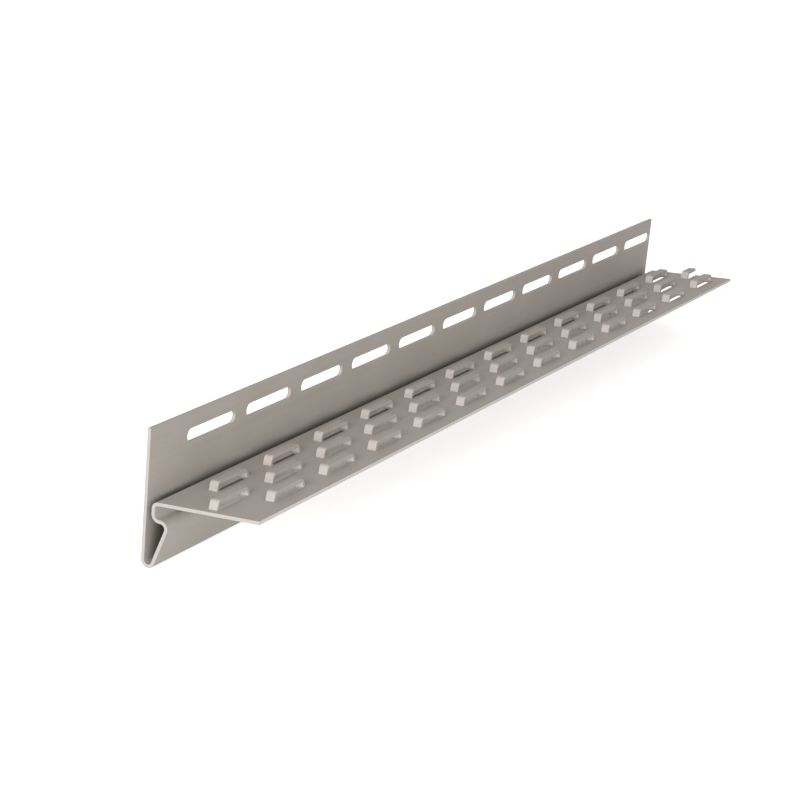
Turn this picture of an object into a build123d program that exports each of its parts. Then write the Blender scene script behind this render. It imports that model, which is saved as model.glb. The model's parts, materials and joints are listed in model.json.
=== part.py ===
from build123d import *
import os
from math import cos, floor, radians, tan

# A ventilation trim: one length of thin plastic profile. A slotted nailing flange runs down
# into a narrow fold, the fold's front wall rises to a rounded shoulder and a neck, and the neck
# carries a ledge that is pierced by three rows of raised vent bridges.
# Origin: middle of the length, on the flange's wall face, at the height where the ledge's top
# would meet the flange. +X runs along the trim, +Y into the wall, +Z up.

# Driving dimensions, in millimetres and degrees
length = 457.0
wall = 1.4

flange_top = 28.2  # above the ledge's level
slot_length = 32.0
slot_width = 5.2
slot_web = 8.0  # sheet left between two slots
slot_from_end = 40.0  # near end to the first slot's centre
slot_from_top = 9.4  # flange's top edge to the slots' centre line

fold_depth = 26.4  # ledge's level to the bottom of the fold
fold_angle = 20.0  # between the flange and the fold's front wall
fold_radius = 1.6  # bend radii are those of the inside of each bend
shoulder_drop = 6.2  # ledge's level to the top of the shoulder
shoulder_radius = 1.8
shoulder_flat = 0.5  # least straight run from the shoulder's bend to the neck's
throat = 2.2  # clear gap between the flange and the neck
neck_radius = 1.8
ledge_radius = 1.5
ledge_reach = 50.5  # wall face to the ledge's front edge
ledge_rise = 6.0  # the ledge climbs by this angle towards its front edge

bridge_length = 22.0  # foot to foot, along the trim
bridge_width = 4.0
bridge_height = 3.6  # ledge's top to the bridge's top
bridge_ramp = 68.0  # slope of both risers
bridge_radius = 0.8  # inside of the two upper bends, while the feet bend over a sharp edge
bridge_pitch = 36.9
bridge_from_end = 2.75  # near end to the first foot of the middle row
first_row = 16.0  # wall face to the middle of the row beside the flange
row_spacing = 12.5
row_margin = 2.0  # least sheet left in front of the last row


def sheet(face_line, bends):
    """Section of the sheet: one face follows the line with rounded corners, and the wall lies to its right."""
    face = [Vector(*point) for point in face_line]
    across = [(b - a).normalized().rotate(Axis.Z, -90) for a, b in zip(face, face[1:])]
    other_face = [face[0] + across[0] * wall]
    other_bends = []
    for corner, before, after, bend in zip(face[1:-1], across, across[1:], bends):
        other_face.append(corner + (before + after) * (wall / (1 + before.dot(after))))
        turns_left = before.cross(after).Z > 0  # so that the wall is on the outside of the bend
        other_bends.append(bend + wall if turns_left else bend - wall)
    other_face.append(face[-1] + across[-1] * wall)
    radii = [0, *bends, 0, 0, *reversed(other_bends), 0]
    return make_face(FilletPolyline(*face, *reversed(other_face), radius=radii, close=True))


near_end = -length / 2

# The profile's section, drawn along the face that starts as the flange's wall face and ends
# as the underside of the ledge.
half_angle = radians(fold_angle / 2)
fold_centre = -fold_depth + fold_radius + wall
fold_apex = fold_centre - (fold_radius + wall) / tan(half_angle)
shoulder_front = -(-shoulder_drop - fold_apex) * tan(radians(fold_angle))
neck_front = -(wall + throat + wall)
climb = tan(radians(ledge_rise))
wall_upright = wall / cos(radians(ledge_rise))
face_line = [
    (0, flange_top),
    (0, fold_apex),
    (shoulder_front, -shoulder_drop),
    (neck_front, -shoulder_drop),
    (neck_front, (-neck_front - wall) * climb - wall_upright),
    (-ledge_reach, (ledge_reach - wall) * climb - wall_upright),
]
shoulder_run = neck_front - shoulder_front - neck_radius - shoulder_flat
shoulder_bend = min(shoulder_radius + wall, shoulder_run / tan(radians(90 + fold_angle) / 2))
section = sheet(face_line, [fold_radius + wall, shoulder_bend, neck_radius, ledge_radius])
trim = extrude(Plane.YZ.offset(near_end) * section, length)

# Nail slots with round ends, as many whole ones as the length holds
slot_pitch = slot_length + slot_web
slot_count = 1 + floor((length - slot_from_end - slot_length / 2) / slot_pitch)
slot = extrude(Plane.XZ * SlotOverall(slot_length, slot_width), 2 * wall, both=True)
slot_height = flange_top - slot_from_top
slots = [Pos(near_end + slot_from_end + slot_pitch * i, 0, slot_height) * slot for i in range(slot_count)]
trim -= slots

# Vent bridges. Each is a strip between two cuts, pushed up out of the ledge and still joined to it
# at both feet. It is drawn along its top face, in a plane that stands along the trim, square to
# the ledge, and runs on into the ledge beyond each foot.
foot_lap = wall
crown = bridge_height / tan(radians(bridge_ramp))
top_line = [
    (-foot_lap, 0),
    (0, 0),
    (crown, bridge_height),
    (bridge_length - crown, bridge_height),
    (bridge_length, 0),
    (bridge_length + foot_lap, 0),
]
bridge_section = sheet(top_line, [0, bridge_radius + wall, bridge_radius + wall, 0])
bridge = extrude(bridge_section, bridge_width / 2, both=True)
window = Pos(bridge_length / 2, 0, 0) * Box(bridge_length, 4 * wall, bridge_width)

# As many rows of bridges as the ledge holds. Rows beside each other are half a pitch apart.
# The length is cut from a longer run, so the far end may pass through a bridge and leave only
# its first part.
row_count = 1 + floor((ledge_reach - row_margin - bridge_width / 2 - first_row) / row_spacing)
along_ledge = Plane(origin=(0, -wall, 0), x_dir=(1, 0, 0), z_dir=Vector(0, -1, 0).rotate(Axis.X, -ledge_rise))
places = []
for row in range(row_count):
    start = bridge_from_end + bridge_pitch / 2 * ((row + 1) % 2)
    out = (first_row + row_spacing * row - wall) / cos(radians(ledge_rise))
    for i in range(1 + floor((length - start - crown) / bridge_pitch)):
        places.append(along_ledge * Pos(near_end + start + bridge_pitch * i, 0, out))
cut_length = Box(length, 4 * ledge_reach, 4 * ledge_reach)
trim -= [place * window for place in places]
trim += [(place * bridge) & cut_length for place in places]

os.makedirs("parts", exist_ok=True)
export_step(trim, "parts/ventilation_trim.step")
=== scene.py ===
import json
from math import cos, pi, radians, sin, tan

import bmesh
import bpy
from mathutils import Matrix, Vector


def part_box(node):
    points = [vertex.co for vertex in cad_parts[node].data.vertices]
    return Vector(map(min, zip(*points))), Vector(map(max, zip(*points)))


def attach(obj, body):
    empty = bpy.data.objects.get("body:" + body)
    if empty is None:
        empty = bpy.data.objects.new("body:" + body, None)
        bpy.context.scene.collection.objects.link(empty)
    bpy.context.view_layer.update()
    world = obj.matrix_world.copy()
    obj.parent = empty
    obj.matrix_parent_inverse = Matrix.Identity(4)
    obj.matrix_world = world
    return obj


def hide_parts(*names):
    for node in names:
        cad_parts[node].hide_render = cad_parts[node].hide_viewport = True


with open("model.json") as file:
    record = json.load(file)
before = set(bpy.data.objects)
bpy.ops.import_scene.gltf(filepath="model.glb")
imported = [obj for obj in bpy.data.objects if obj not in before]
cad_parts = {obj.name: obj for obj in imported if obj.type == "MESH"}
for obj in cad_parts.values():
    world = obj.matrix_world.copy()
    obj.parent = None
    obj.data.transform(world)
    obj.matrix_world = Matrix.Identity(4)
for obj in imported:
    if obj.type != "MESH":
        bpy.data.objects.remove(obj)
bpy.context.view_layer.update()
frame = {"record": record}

# The profile: one length of rigid PVC, extruded through a die as a thin wall that bends four times.
# It is drawn as the middle of that wall, from the flange's top edge down into the fold, up over
# the shoulder, back to the neck and out along the ledge, and gets its thickness further down.
mm = 0.001
low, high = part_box("ventilation_trim")
wall = 1.4 * mm
fold_angle = radians(20)  # between the flange and the fold's front wall
ledge_rise = radians(6)
shoulder_top = -6.2 * mm
throat = 2.2 * mm  # clear gap between the flange and the neck
fold_bend = 1.6 * mm + wall / 2  # inside radius of each bend, then half the wall
shoulder_bend = 1.8 * mm + wall / 2
neck_bend = 1.8 * mm + wall / 2
ledge_bend = 1.5 * mm + wall / 2

flange_y = high.y - wall / 2
neck_y = high.y - wall - throat - wall / 2
fold_centre = Vector((0, flange_y - fold_bend, low.z + wall / 2 + fold_bend))
shoulder_z = shoulder_top - wall / 2 - shoulder_bend
lean = (shoulder_bend - fold_bend - (shoulder_z - fold_centre.z) * sin(fold_angle)) / cos(fold_angle)
shoulder_centre = Vector((0, fold_centre.y + lean, shoulder_z))
neck_centre = Vector((0, neck_y - neck_bend, shoulder_top - wall / 2 + neck_bend))
ledge_y = neck_y - ledge_bend
ledge_drop = (wall / 2 + ledge_bend) / cos(ledge_rise)
ledge_centre = Vector((0, ledge_y, (-ledge_y - wall) * tan(ledge_rise) - ledge_drop))
front_y = low.y + wall / 2 * sin(ledge_rise)
front_z = (-front_y - wall) * tan(ledge_rise) - wall / 2 / cos(ledge_rise)


def run_to(y, z):
    """Extrudes the selected edge straight on to that place in the section."""
    edge = next(v for v in bmesh.from_edit_mesh(sheet.data).verts if v.select)
    bpy.ops.mesh.extrude_region_move(TRANSFORM_OT_translate={"value": (0, y - edge.co.y, z - edge.co.z)})


def bend_round(centre, turn):
    """Spins the selected edge about a bend's centre line, in steps of about six degrees."""
    bpy.ops.mesh.spin(steps=round(abs(turn) / radians(6)), angle=-turn, center=centre, axis=(1, 0, 0))


bpy.ops.object.select_all(action="DESELECT")
flange_height = high.z - fold_centre.z
bpy.ops.mesh.primitive_plane_add(size=1, location=(0, flange_y, high.z - flange_height / 2))
sheet = bpy.context.object
sheet.name = "trim_profile"
sheet.rotation_euler.x = radians(90)
sheet.scale = (high.x - low.x, flange_height, 1)
bpy.ops.object.transform_apply(location=True, rotation=True, scale=True)
bpy.ops.object.mode_set(mode="EDIT")
bpy.ops.mesh.select_mode(type="EDGE")
bpy.ops.mesh.select_all(action="DESELECT")
for edge in bmesh.from_edit_mesh(sheet.data).edges:
    edge.select_set(all(v.co.z < fold_centre.z + mm for v in edge.verts))
bend_round(fold_centre, -(pi - fold_angle))
run_to(
    shoulder_centre.y - shoulder_bend * cos(fold_angle),
    shoulder_centre.z - shoulder_bend * sin(fold_angle),
)
bend_round(shoulder_centre, -(pi / 2 + fold_angle))
run_to(neck_centre.y, neck_centre.z - neck_bend)
bend_round(neck_centre, pi / 2)
run_to(ledge_centre.y + ledge_bend, ledge_centre.z)
bend_round(ledge_centre, pi / 2 - ledge_rise)
run_to(front_y, front_z)
bpy.ops.object.mode_set(mode="OBJECT")

# The vent bridges: between two cuts in the ledge, a narrow strip is pushed up while the sheet is warm,
# and stays joined to it at both feet. Three rows let air through, the middle one half a pitch out of
# step. The length was cut from a longer run, so the far end passes through one bridge.
bridge_length = 22.0 * mm  # foot to foot, on the ledge's top face
bridge_width = 4.0 * mm
bridge_height = 3.6 * mm
bridge_ramp = radians(68)
bridge_pitch = 36.9 * mm
bridge_from_end = 2.75 * mm
row_count = 3
row_spacing = 12.5 * mm
first_row = 16.0 * mm  # wall face to the middle of the row beside the flange
foot_bend = 0.3 * mm + wall / 2  # inside radius, then half the wall
crown_bend = 0.35 * mm + wall / 2
cut_past_foot = 0.5 * mm  # how far each cut runs on past the strip's foot
kerf = 0.1 * mm  # room that the punch leaves on each side of a strip
bend_steps = 6

out = Vector((0, -cos(ledge_rise), sin(ledge_rise)))
up = Vector((0, sin(ledge_rise), cos(ledge_rise)))
ledge_root = Vector((0, high.y - wall, 0))
shift = wall / 2 * tan(bridge_ramp / 2)  # from the top face's corners to those of the wall's middle
foot_corner = shift
crown_corner = shift + bridge_height / tan(bridge_ramp)
near = 0.001 * mm  # two places this close are the same


def place_of(item):
    """Where the middle of a face or edge lies: along the trim, out along the ledge, and above its top."""
    centre = sum((v.co for v in item.verts), Vector()) / len(item.verts)
    return centre.x, (centre - ledge_root).dot(out), (centre - ledge_root).dot(up)


def pick(kind, wanted):
    """Selects the sheet's faces or edges whose place passes the test."""
    bpy.ops.mesh.select_mode(type={"faces": "FACE", "edges": "EDGE"}[kind])
    bpy.ops.mesh.select_all(action="DESELECT")
    mesh = bmesh.from_edit_mesh(sheet.data)
    for item in getattr(mesh, kind):
        if wanted(*place_of(item)):
            item.select_set(True)
    bmesh.update_edit_mesh(sheet.data)


def cut_ledge(point, direction, middle=0, reach=1):
    """Cuts the ledge along a plane, all of it or only as far as a row reaches to both sides of its middle."""
    pick("faces", lambda x, y, z: abs(z + wall / 2) < near and abs(y - middle) < reach)
    bpy.ops.mesh.bisect(plane_co=point, plane_no=direction)


rows = []
for row in range(row_count):
    first = low.x + bridge_from_end + (bridge_pitch / 2 if row != 1 else 0)
    count = 1 + int((high.x - crown_corner - first) / bridge_pitch)
    outward = (first_row + row_spacing * row - wall) / cos(ledge_rise)
    rows.append((outward, [first + bridge_pitch * i for i in range(count)]))


def both_ends(starts, inset):
    """The places along the trim that lie that far in from the feet of a row's strips."""
    return [along for start in starts for along in (start + inset, start + bridge_length - inset)]


def at_corner(along, starts, corner):
    """Whether a place along the trim is at that corner of a row's strips."""
    return any(abs(along - place) < near for place in both_ends(starts, corner))


def within(along, starts, inset):
    """Whether a place along the trim lies in one of a row's strips, that far in from both feet."""
    return any(start + inset < along < start + bridge_length - inset for start in starts)


def on_cut(outward, middle):
    """Whether a place out along the ledge lies on one of the two cuts beside a row's strips."""
    return abs(abs(outward - middle) - bridge_width / 2) < near


bpy.ops.object.mode_set(mode="EDIT")
for middle, starts in rows:
    for side in (-1, 1):
        cut_ledge(ledge_root + out * (middle + side * bridge_width / 2), out)
for middle, starts in rows:
    for corner in (-cut_past_foot, foot_corner, crown_corner):
        for along in both_ends(starts, corner):
            if along < high.x - near:
                cut_ledge((along, 0, 0), (1, 0, 0), middle, bridge_width / 2)
narrower = 1 - 2 * kerf / bridge_width
for middle, starts in rows:
    pick("edges", lambda x, y, z: on_cut(y, middle) and within(x, starts, -cut_past_foot))
    bpy.ops.mesh.edge_split(type="EDGE")
    row_middle = ledge_root + out * middle - up * wall / 2
    pick("faces", lambda x, y, z: abs(y - middle) < bridge_width / 2 and within(x, starts, foot_corner))
    bpy.ops.transform.resize(value=(1, narrower, narrower), center_override=row_middle)
    pick("faces", lambda x, y, z: abs(y - middle) < bridge_width / 2 and within(x, starts, crown_corner))
    bpy.ops.transform.translate(value=up * bridge_height)
    for corner, bend in ((foot_corner, foot_bend), (crown_corner, crown_bend)):
        pick("edges", lambda x, y, z: abs(y - middle) < near and at_corner(x, starts, corner))
        bpy.ops.mesh.bevel(
            offset_type="OFFSET",
            offset=bend * tan(bridge_ramp / 2),
            segments=bend_steps,
            profile=0.5,
            affect="EDGES",
            clamp_overlap=False,
        )
bpy.ops.object.mode_set(mode="OBJECT")

# The thickness, the nail slots and the edges. The slots are punched through the flange with round ends,
# and every cut edge of the sheet is eased by a fraction of a millimetre.
slot_length = 32.0 * mm
slot_width = 5.2 * mm
slot_arc = 32  # sides of the round punch
edge_round = 0.1 * mm
eased_from = radians(38)  # edges that turn by less stay as they are
smooth_up_to = radians(50)


def finish_with(kind, **settings):
    """Adds a modifier to the sheet and applies it."""
    modifier = sheet.modifiers.new(kind.title(), kind)
    for name, value in settings.items():
        setattr(modifier, name, value)
    bpy.context.view_layer.objects.active = sheet
    bpy.ops.object.modifier_apply(modifier=modifier.name)


finish_with("SOLIDIFY", thickness=wall, offset=0, use_even_offset=True, use_quality_normals=True)

slot_boxes = [o["box_m"] for o in frame["record"]["physics"]["openings"] if o["name"].startswith("nail_slot")]
bpy.ops.object.select_all(action="DESELECT")
punch_radius = slot_width / 2 / cos(pi / slot_arc)
bpy.ops.mesh.primitive_cylinder_add(vertices=slot_arc, radius=punch_radius, depth=6 * wall)
punch = bpy.context.object
punch.data.transform(Matrix.Rotation(radians(90), 4, "X") @ Matrix.Rotation(pi / slot_arc, 4, "Z"))
bpy.ops.object.mode_set(mode="EDIT")
for side in (-1, 1):
    bpy.ops.mesh.select_mode(type="VERT")
    bpy.ops.mesh.select_all(action="DESELECT")
    for v in bmesh.from_edit_mesh(punch.data).verts:
        v.select_set(v.co.x * side > 0)
    bmesh.update_edit_mesh(punch.data)
    bpy.ops.transform.translate(value=(side * (slot_length - slot_width) / 2, 0, 0))
bpy.ops.object.mode_set(mode="OBJECT")
punches = []
for box in slot_boxes:
    centre = (Vector(box[0]) + Vector(box[1])) / 2
    copy = punch.copy()
    copy.data = punch.data.copy()
    copy.data.transform(Matrix.Translation((centre.x, flange_y, centre.z)))
    bpy.context.collection.objects.link(copy)
    punches.append(copy)
bpy.data.objects.remove(punch)
for copy in punches:
    copy.select_set(True)
bpy.context.view_layer.objects.active = punches[0]
bpy.ops.object.join()
punch = bpy.context.object
finish_with("BOOLEAN", object=punch, operation="DIFFERENCE", solver="EXACT")
bpy.data.objects.remove(punch)
finish_with(
    "BEVEL",
    width=edge_round,
    segments=2,
    limit_method="ANGLE",
    angle_limit=eased_from,
    miter_outer="MITER_ARC",
)
bpy.ops.object.select_all(action="DESELECT")
sheet.select_set(True)
bpy.context.view_layer.objects.active = sheet
bpy.ops.object.shade_smooth_by_angle(angle=smooth_up_to)
finish_with("WEIGHTED_NORMAL", keep_sharp=True, weight=50)

# The finish: rigid PVC, coloured warm grey all through, with the satin skin that a die leaves.
# Faint streaks run along the length, the sheet has paled where it was stretched, sheared and punched,
# with painted light added to that paling on the risers, their undersides, the strips' and windows' cut
# sides and the ledge's front edge, painted shade darkens the deep inside of the fold, and both ends are
# sawn across and left rough.
pvc_grey = (0.424, 0.386, 0.350, 1)
pvc_deep = (0.373, 0.340, 0.308, 1)  # where the colour is mixed in a little more strongly
pvc_paled_and_painted_light = (0.640, 0.598, 0.552, 1)  # where the sheet has been stretched or sheared, and painted light on risers, cut sides and the front edge
pvc_sawn = (0.425, 0.394, 0.362, 1)
# painted shade deep inside the fold
pvc_painted_shade = (0.100, 0.088, 0.078, 1)
pvc_ior = 1.52
pvc_specular = 0.2

mottle_size = 24 * mm
streak_width = 1.1 * mm
streak_length = 260 * mm
grain_size = 0.45 * mm
saw_pitch = 0.35 * mm
rim_width = 0.8 * mm  # how far the sheet has paled round a slot
fold_shade_start = 12 * mm  # how far in from an open end the painted shade in the fold lies thick

streak_tone = 0.8  # shares in the colour
grain_tone = 0.4
# paling of the risers, partly painted light
riser_paling_and_light = 0.14
underside_painted_light = 0.60  # painted light, added on the undersides of the risers
strip_paling_and_light = 0.12  # paling and painted light on the cut sides of the strips
window_painted_light = 0.22  # painted light, added on the cut walls of the ledge
front_painted_light = 0.36  # painted light, added on the ledge's front edge
rim_paling = 0.07
# how strongly the painted shade darkens the inside of the fold
fold_shade_cover = 0.85
saw_cover = 0.8

satin = 0.56  # the skin's roughness, and what is added to it
mottle_rough = 0.12
streak_rough = 0.16
grain_rough = 0.08
riser_rough = 0.10
sawn_rough = 0.28

streak_depth = 0.012 * mm
grain_depth = 0.006 * mm
saw_depth = 0.05 * mm


class Value:
    """The output of a shader node. Arithmetic on it adds Math nodes to the same material."""

    def __init__(self, socket):
        self.socket = socket

    def node(self, kind, settings, sockets, output=0):
        """Adds any other node: its type, its settings, then the values or links of its sockets."""
        tree = self.socket.id_data
        added = tree.nodes.new("ShaderNode" + kind)
        for name, setting in settings.items():
            setattr(added, name, setting)
        for name, given in sockets.items():
            if isinstance(given, Value):
                tree.links.new(given.socket, added.inputs[name])
            else:
                added.inputs[name].default_value = given
        return Value(added.outputs[output])

    def output(self, name):
        """Another output of the same node."""
        return Value(self.socket.node.outputs[name])

    def maths(self, operation, *others):
        return self.node("Math", {"operation": operation}, dict(enumerate((self, *others))))

    def __add__(self, other):
        return self.maths("ADD", other)

    def __sub__(self, other):
        return self.maths("SUBTRACT", other)

    def __rsub__(self, other):
        return self.maths("MULTIPLY_ADD", -1, other)

    def __mul__(self, other):
        return self.maths("MULTIPLY", other)

    def __pow__(self, other):
        return self.maths("POWER", other)

    def __abs__(self):
        return self.maths("ABSOLUTE")

    __radd__ = __add__
    __rmul__ = __mul__

    def rise(self, start, end):
        """Goes smoothly from 0 at the start to 1 at the end, where the end may be the lower of the two."""
        limits = {"Value": self, "From Min": min(start, end), "From Max": max(start, end)}
        upward = self.node("MapRange", {"interpolation_type": "SMOOTHSTEP"}, limits)
        return upward if start < end else 1 - upward

    def noise(self, along, across, detail):
        """Noise about 0 at this place, with grains of one size along the trim and another across it."""
        scaled = self.node("Mapping", {}, {"Vector": self, "Scale": (1 / along, 1 / across, 1 / across)})
        return self.node("TexNoise", {}, {"Vector": scaled, "Scale": 1, "Detail": detail}) - 0.5

    def blend(self, first, second):
        """The first colour where this is 0, and the second where it is 1."""
        return self.node("Mix", {"data_type": "RGBA"}, {0: self, 6: first, 7: second}, output=2)


pvc = bpy.data.materials.new("warm_grey_pvc")
pvc.use_nodes = True
skin = pvc.node_tree.nodes["Principled BSDF"]
place = Value(pvc.node_tree.nodes.new("ShaderNodeTexCoord").outputs["Object"])
along = place.node("SeparateXYZ", {}, {"Vector": place})
across = along.output("Y")
height = along.output("Z")
facing = place.node("SeparateXYZ", {}, {"Vector": place.node("NewGeometry", {}, {}, "Normal")})

mottle = place.noise(mottle_size, mottle_size, 2)
streaks = place.noise(streak_length, streak_width, 3)
grain = place.noise(grain_size, grain_size, 1)
saw_marks = place.noise(saw_pitch, saw_pitch, 2)
sawn = abs(along).rise(high.x - edge_round, high.x - edge_round / 4)

# Risers look along the trim, and the cut sides of strips and windows look across it
above_ledge = across * up.y + height * up.z - ledge_root.dot(up)
in_ledge = above_ledge.rise(-2 * wall, -1.5 * wall) * across.rise(low.y / 5, low.y / 4) * (1 - sawn)
in_risers = above_ledge.rise(-wall / 4, wall / 4) * above_ledge.rise(bridge_height, bridge_height - wall / 4)
stretched = abs(facing).rise(0.2, 0.8) * in_risers * in_ledge
sheared = abs(facing.output("Y")).rise(0.5, 0.9) * in_ledge

# Faces on both sides of the fold that look towards its middle, where shade is painted deep in from the open
# ends
into_fold = (fold_centre.y - across) * facing.output("Y")
fold_painted_shade = into_fold.rise(0, wall) * height.rise(wall, -2 * wall) * abs(along).rise(high.x, high.x - fold_shade_start)

# Distance from the rim of the nearest slot, which is round at both ends
slot_places = sorted((Vector(box[0]) + Vector(box[1])).x / 2 for box in slot_boxes)
slot_axis = (slot_boxes[0][0][2] + slot_boxes[0][1][2]) / 2
slot_pitch = slot_places[1] - slot_places[0]
from_middle = abs((along - slot_places[0]).maths("WRAP", slot_pitch / 2, -slot_pitch / 2))
past_straight = (from_middle - (slot_length - slot_width) / 2).maths("MAXIMUM", 0)
from_rim = (past_straight ** 2 + (height - slot_axis) ** 2) ** 0.5 - slot_width / 2
past_first_web = along.rise(slot_places[0] - slot_pitch / 2, slot_places[0] - slot_length / 2)
in_flange = across.rise(-3 * wall, -2 * wall) * past_first_web
punched = from_rim.rise(rim_width, 0) * in_flange

tone = (0.5 + mottle + streak_tone * streaks + grain_tone * grain).rise(0, 1)
under_strips = facing.output("Z").rise(0.1, -0.2)
through_ledge = above_ledge.rise(wall / 2, 0)
front_edge = across.rise(low.y + 2 * wall, low.y + wall)
# Paling where the sheet was stretched, sheared and punched, with painted light on the risers, their
# undersides, the strips' and windows' cut sides and the ledge's front edge
paling_and_painted_light = stretched * (riser_paling_and_light + underside_painted_light * under_strips) + rim_paling * punched
paling_and_painted_light = paling_and_painted_light + sheared * (strip_paling_and_light + window_painted_light * through_ledge + front_painted_light * front_edge)
colour = tone.blend(pvc_deep, pvc_grey)
colour = paling_and_painted_light.blend(colour, pvc_paled_and_painted_light)
# Painted shade deep inside the fold
colour = (fold_shade_cover * fold_painted_shade).blend(colour, pvc_painted_shade)
colour = (sawn * (saw_cover + saw_marks)).blend(colour, pvc_sawn)
roughness = satin + mottle_rough * mottle + streak_rough * streaks + grain_rough * grain
roughness = roughness + riser_rough * stretched + sawn_rough * sawn
relief = streak_depth * streaks + grain_depth * grain + saw_depth * saw_marks * sawn
bump = place.node("Bump", {}, {"Height": relief, "Distance": 1, "Strength": 1})
for name, given in (("Base Color", colour), ("Roughness", roughness), ("Normal", bump)):
    pvc.node_tree.links.new(given.socket, skin.inputs[name])
skin.inputs["IOR"].default_value = pvc_ior
skin.inputs["Specular IOR Level"].default_value = pvc_specular
sheet.data.materials.append(pvc)
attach(sheet, "root")
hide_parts("ventilation_trim")

# The floor and the backdrop: one pale plain surface that carries the trim on the bottom of its fold.
# Both are white to the eye and in reflections, while the floor still takes the trim's soft shadow.
floor_size = 8.0
floor_white = (0.9, 0.9, 0.9, 1)
floor_lift = 0.62  # added for the eye, so that the open floor is white
sky_light = 0.50
sky_white = 1.0  # to the eye
white = (1, 1, 1, 1)


def seen(tree):
    """1 for what the camera sees, straight, mirrored or through glass, and 0 for light on its way."""
    path = Value(tree.nodes.new("ShaderNodeLightPath").outputs["Is Camera Ray"])
    mirrored = path.maths("MAXIMUM", path.output("Is Glossy Ray"))
    return mirrored.maths("MAXIMUM", path.output("Is Transmission Ray"))


bpy.ops.object.select_all(action="DESELECT")
bpy.ops.mesh.primitive_plane_add(size=floor_size, location=(0, 0, low.z))
floor = bpy.context.object
floor.name = "floor"
bpy.ops.object.transform_apply(location=True, rotation=True, scale=True)
pale = bpy.data.materials.new("pale_floor")
pale.use_nodes = True
pale.node_tree.nodes.remove(pale.node_tree.nodes["Principled BSDF"])
to_eye = seen(pale.node_tree)
paint = to_eye.node("BsdfDiffuse", {}, {"Color": floor_white})
glow = to_eye.node("Emission", {}, {"Color": white, "Strength": floor_lift * to_eye})
lit = to_eye.node("AddShader", {}, {0: paint, 1: glow})
pale.node_tree.links.new(lit.socket, pale.node_tree.nodes["Material Output"].inputs["Surface"])
floor.data.materials.append(pale)

studio = bpy.data.worlds.new("studio")
bpy.context.scene.world = studio
studio.use_nodes = True
backdrop = studio.node_tree.nodes["Background"]
backdrop.inputs["Color"].default_value = white
strength = sky_light + (sky_white - sky_light) * seen(studio.node_tree)
studio.node_tree.links.new(strength.socket, backdrop.inputs["Strength"])

# The light: one large soft lamp far beyond the near end, so that every face that looks along the trim
# stands out from the long ones, and a small one low in front of that end, whose light reaches the
# strips' cut sides and comes in under the ledge.
lit_point = Vector((-0.10, -0.02, 0))


def hang_lamp(name, place, watts, width, depth):
    """Hangs a rectangular lamp at that place and turns it to the trim."""
    bpy.ops.object.light_add(type="AREA", location=place)
    lamp = bpy.context.object
    lamp.name = name
    lamp.data.shape = "RECTANGLE"
    lamp.data.size = width
    lamp.data.size_y = depth
    lamp.data.energy = watts
    lamp.rotation_euler = (lit_point - lamp.location).to_track_quat("-Z", "Y").to_euler()


hang_lamp("end_lamp", place=(-5.60, -0.60, 1.72), watts=256.0, width=3.6, depth=2.2)
hang_lamp("front_lamp", place=(-0.92, -0.66, 0.19), watts=5.0, width=0.8, depth=0.16)

# The camera: where the photograph was taken from, in front of the near end and above the ledge.
# It looks along the trim's length and down, and is held a little askew.
azimuth = radians(-61.894)
elevation = radians(18.538)
roll = radians(5.264)
camera_place = Vector((-0.84574, -0.43221, 0.29853))
lens = 98.333

ahead = -Vector((sin(azimuth) * cos(elevation), -cos(azimuth) * cos(elevation), sin(elevation)))
level_view = ahead.to_track_quat("-Z", "Y").to_matrix().to_4x4()
bpy.ops.object.camera_add(location=camera_place)
camera = bpy.context.object
camera.matrix_world = Matrix.Translation(camera_place) @ level_view @ Matrix.Rotation(roll, 4, "Z")
camera.data.lens = lens
bpy.context.scene.camera = camera
bpy.context.scene.view_settings.view_transform = "Standard"
